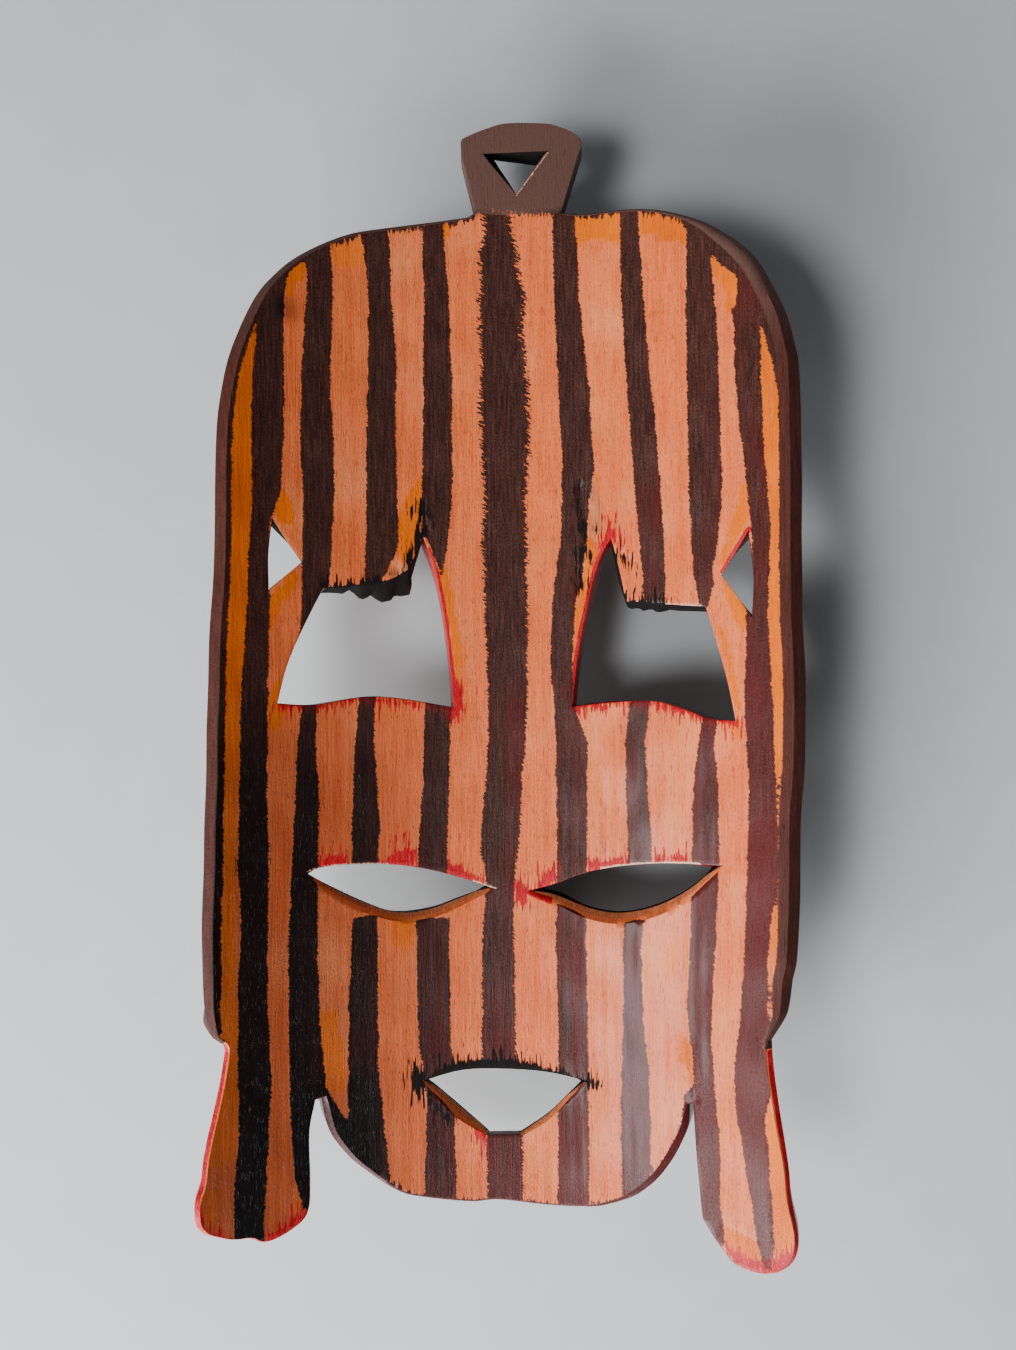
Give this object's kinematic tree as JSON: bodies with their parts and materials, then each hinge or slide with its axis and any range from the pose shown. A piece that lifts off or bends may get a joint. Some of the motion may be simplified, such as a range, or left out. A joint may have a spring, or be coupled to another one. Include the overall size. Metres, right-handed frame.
{
  "type": "carved wooden mask",
  "caption": "Long carved wooden face mask with a striped hollow back, eye slits, a mouth, cut-out openings, ear pendants and a hanging loop.",
  "frame": {"origin": "middle of the bounding box in the plane that the carved front rests on", "axes": "+Y from the chin to the hanging loop, +X across the face, +Z out of the hollow back; the mask lies on its carved front"},
  "size_m": [0.1688, 0.3288, 0.0673],
  "materials": {
    "wood": "reddish wood with dark brown painted stripes and a waxed edge"
  },
  "bodies": {
    "root": {"mask": "wood"}
  },
  "joints": []
}
